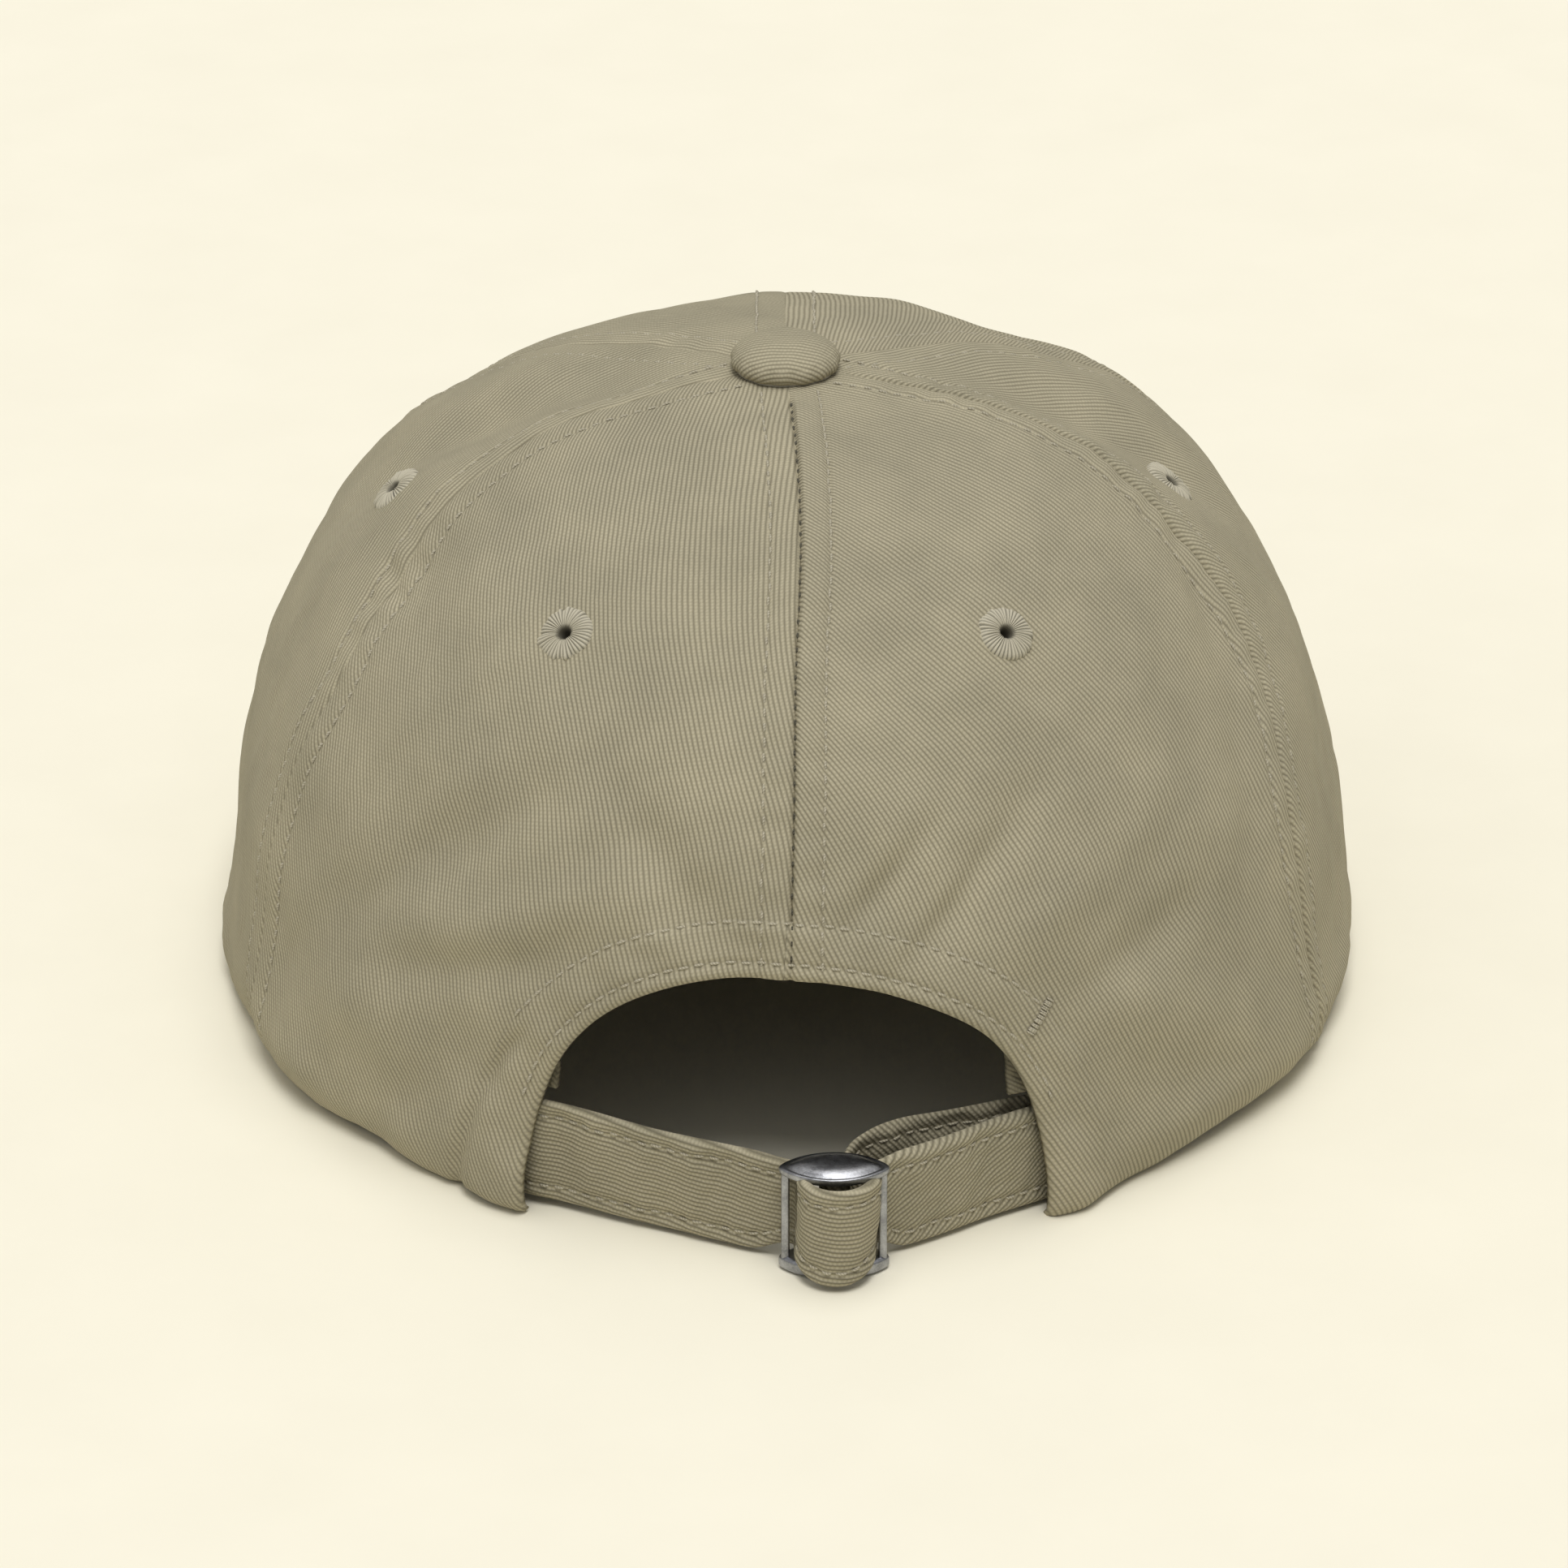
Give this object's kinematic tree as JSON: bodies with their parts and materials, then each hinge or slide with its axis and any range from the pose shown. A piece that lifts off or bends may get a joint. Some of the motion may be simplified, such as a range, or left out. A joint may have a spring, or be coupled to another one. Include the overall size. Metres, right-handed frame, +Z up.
{
  "type": "baseball cap",
  "caption": "Soft low-profile cap in stone twill with stitched panels, eyelets, a covered top button, a curved visor and a back strap with a metal slide buckle.",
  "frame": {"origin": "centre of the head opening, in the plane that the rim rests on", "axes": "+Z up to the top button, +Y forward to the visor, +X to the wearer's right"},
  "size_m": [0.175, 0.2747, 0.1014],
  "materials": {
    "crown_twill": "cotton twill, matte",
    "strap_twill": "folded cotton twill, matte",
    "eyelet_thread": "close satin stitches",
    "seam_tape": "flat woven tape",
    "sweatband_cloth": "cotton twill, brushed",
    "label_cloth": "woven satin, blank",
    "visor_board": "moulded board",
    "tinned_metal": "plain pressed metal",
    "gunmetal": "antiqued gunmetal plating"
  },
  "bodies": {
    "crown": {"front_panel_left": "crown_twill", "front_panel_right": "crown_twill", "side_panel_left": "crown_twill", "side_panel_right": "crown_twill", "back_panel_left": "crown_twill", "back_panel_right": "crown_twill", "front_eyelet_left": "eyelet_thread", "front_eyelet_right": "eyelet_thread", "side_eyelet_left": "eyelet_thread", "side_eyelet_right": "eyelet_thread", "back_eyelet_left": "eyelet_thread", "back_eyelet_right": "eyelet_thread", "seam_tape_front": "seam_tape", "seam_tape_front_left": "seam_tape", "seam_tape_back_left": "seam_tape", "seam_tape_back": "seam_tape", "seam_tape_back_right": "seam_tape", "seam_tape_front_right": "seam_tape", "opening_facing": "seam_tape", "sweatband_left": "sweatband_cloth", "sweatband_right": "sweatband_cloth", "care_label": "label_cloth", "button_cover": "crown_twill", "button_shell": "tinned_metal", "button_prong": "tinned_metal", "button_washer": "tinned_metal", "visor_upper_cloth": "crown_twill", "visor_under_cloth": "crown_twill", "visor_board": "visor_board", "adjuster_strap": "strap_twill", "anchor_strap": "strap_twill"},
    "buckle": {"buckle_frame": "gunmetal", "buckle_bar": "gunmetal"},
    "strap_tail": {"adjuster_strap_tail": "strap_twill"}
  },
  "joints": [
    {"name": "buckle_tilt", "type": "hinge", "parent": "crown", "child": "buckle", "pos_m": [0.0071, -0.1022, 0.0091], "axis": [0, 0, 1], "range_deg": [-5, 5]},
    {"name": "tail_slide", "type": "slide", "parent": "crown", "child": "strap_tail", "axis": [0.8425, 0.5388, 0], "range_m": [0, 0.008]}
  ]
}
